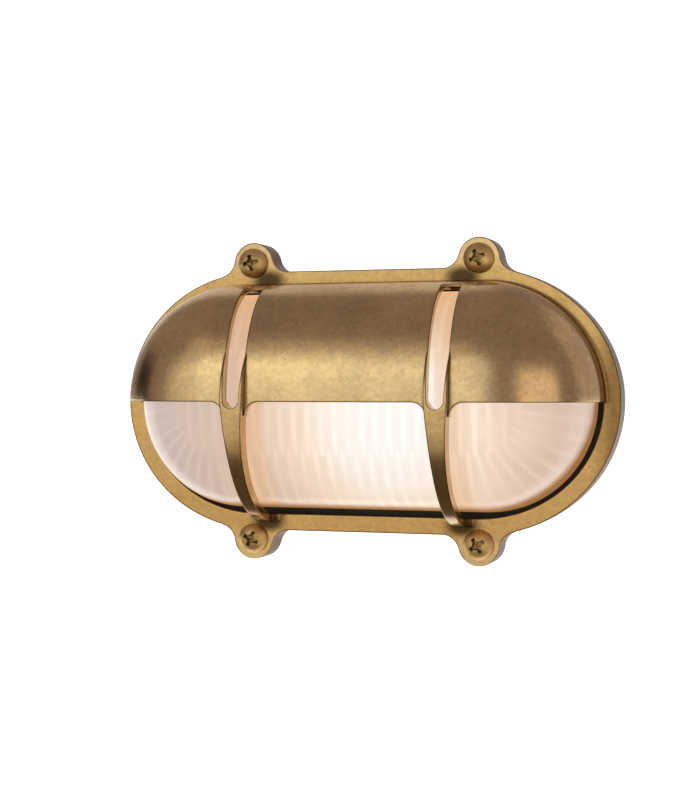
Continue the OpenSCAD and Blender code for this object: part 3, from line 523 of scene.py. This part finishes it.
# Painted reflection and shade of the brass, in amber under the hood, in a stripe beside each bar, and at the
# rim, further forward at the bottom
hood_reflection_mask = add(tree, "ShaderNodeMapRange", {"Value": place.outputs["Z"], "From Min": 8 * MM,
                                              "From Max": 34 * MM, "To Max": 0.75})
hood_reflected = add(tree, "ShaderNodeMix", {"Factor": hood_reflection_mask.outputs[0], "A": lit.outputs["Color"],
                                     "B": hex_linear("#e3b07c")}, data_type="RGBA")
past_middle = add(tree, "ShaderNodeMath", {0: place.outputs["X"], 1: STRIPE_MIDDLE}, operation="SUBTRACT")
off_middle = add(tree, "ShaderNodeMath", {0: past_middle.outputs[0]}, operation="ABSOLUTE")
past_bar = add(tree, "ShaderNodeMath", {0: off_middle.outputs[0], 1: STRIPE_ASIDE}, operation="SUBTRACT")
off_bar = add(tree, "ShaderNodeMath", {0: past_bar.outputs[0]}, operation="ABSOLUTE")
bar_reflection_mask = add(tree, "ShaderNodeMapRange", {"Value": off_bar.outputs[0], "From Min": 8 * MM,
                                              "From Max": 1 * MM, "To Max": 0.6},
                 interpolation_type="SMOOTHSTEP")
bar_reflected = add(tree, "ShaderNodeMix", {"Factor": bar_reflection_mask.outputs[0], "A": hood_reflected.outputs["Result"],
                                     "B": hex_linear("#e6b98a")}, data_type="RGBA")
slanted = add(tree, "ShaderNodeMath", {0: place.outputs["Z"], 1: -0.2, 2: place.outputs["Y"]},
              operation="MULTIPLY_ADD")
rim_reflection_and_shade = add(tree, "ShaderNodeMapRange", {"Value": slanted.outputs[0], "From Min": -15.5 * MM,
                                          "From Max": -8.5 * MM, "To Max": 0.95},
             interpolation_type="SMOOTHSTEP")
rim_reflected = add(tree, "ShaderNodeMix", {"Factor": rim_reflection_and_shade.outputs[0], "A": bar_reflected.outputs["Result"],
                                     "B": hex_linear("#9d6a36")}, data_type="RGBA")
tree.links.new(rim_reflected.outputs["Result"], body.inputs["Emission Color"])

# The painted stripes' strength, weaker away from the glow and in some of the clouds
fade = add(tree, "ShaderNodeMapRange", {"Value": far.outputs["Value"], "From Min": 20 * MM,
                                        "From Max": 75 * MM, "To Min": 0.07, "To Max": 0.056})
streaky = add(tree, "ShaderNodeMapRange", {"Value": clouds.outputs["Fac"], "From Min": 0.36,
                                           "From Max": 0.62, "To Min": 0.15, "To Max": 1.2})
contrast = add(tree, "ShaderNodeMath", {0: fade.outputs[0], 1: streaky.outputs[0]}, operation="MULTIPLY")
strength = add(tree, "ShaderNodeMath", {0: stripes.outputs[0], 1: contrast.outputs[0], 2: GLOW_STRENGTH},
               operation="MULTIPLY_ADD")
tree.links.new(strength.outputs[0], body.inputs["Emission Strength"])
# The base colour is dark, and darker at the rim as painted shade
base_with_rim_shade = add(tree, "ShaderNodeMix", {"Factor": rim_reflection_and_shade.outputs[0], "A": hex_linear("#4f443d"),
                                   "B": hex_linear("#2e1c0e")}, data_type="RGBA")
tree.links.new(base_with_rim_shade.outputs["Result"], body.inputs["Base Color"])
body.inputs["Roughness"].default_value = 0.22
glass_mesh.materials.append(frost)
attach(glass, "root")
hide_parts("glass")

# Lamp: a sealed capsule with a frosted bulb, whose two pins are pushed into the lampholder.
# Lit lamp glass: warm white with a faint cloudiness, brighter than the dome round it.
lamp_glass = grained("lit_lamp_glass", "#fff3e0", "#ffe6c4", patch=6 * MM, metallic=0.0, roughness=0.4,
                     relief=0.02 * MM)
bulb = lamp_glass.node_tree.nodes["Principled BSDF"]
bulb.inputs["Emission Color"].default_value = hex_linear("#ffd9a8")
bulb.inputs["Emission Strength"].default_value = 2.0
dress(lamp_glass, "lamp")

# Lampholder: a round body of steatite, pressed and fired, screwed to its bracket from behind.
# Unglazed ceramic: chalky and cream, with small darker clouds.
steatite = grained("fired_steatite", "#ded8c8", "#c9c0ab", patch=2 * MM, metallic=0.0, roughness=0.7,
                   relief=0.04 * MM)
dress(steatite, "lampholder")

# Bracket, small screws and spring washer: pressed sheet steel and headed wire, zinc plated after forming.
# Bright zinc: cool grey with a faint spangle and soft gloss.
zinc = grained("zinc_plated_steel", "#c3c6ca", "#9a9ea3", patch=1.6 * MM, metallic=1.0, roughness=0.32,
               relief=0.02 * MM)
dress(zinc, "holder_bracket", "bracket_screws", "holder_screws", "terminal_screws", "terminal_fixings",
      "earth_washer")

# Terminal block: one moulding for three poles, screwed to the base plate.
# Moulded nylon: ivory and half dull, slightly yellowed in patches.
nylon = grained("moulded_nylon", "#dfdacb", "#cfc6ae", patch=5 * MM, metallic=0.0, roughness=0.48,
                relief=0.03 * MM)
dress(nylon, "terminal_block")

# Earth tag: a ring stamped from copper sheet, tinned, and crimped to the earth wire.
# Tinned copper: soft grey with dull clouds.
tin = grained("tinned_copper", "#c7c3ba", "#a39d92", patch=2 * MM, metallic=1.0, roughness=0.38,
              relief=0.02 * MM)
dress(tin, "earth_tag")

# Leads: stranded wire in heat-proof sleeves, each in the colour of its pole.
# Silicone sleeve: nearly even colour and a rubbery half gloss with a fine dusty bloom.
for wire, light, dark in (("live_wire", "#6b4326", "#55331b"), ("neutral_wire", "#3a62a6", "#2c4e8c"),
                          ("earth_wire", "#5f8f3c", "#4a752c")):
    sleeve = grained("silicone_sleeve_of_" + wire, light, dark, patch=3 * MM, metallic=0.0, roughness=0.5,
                     relief=0.02 * MM)
    dress(sleeve, wire)
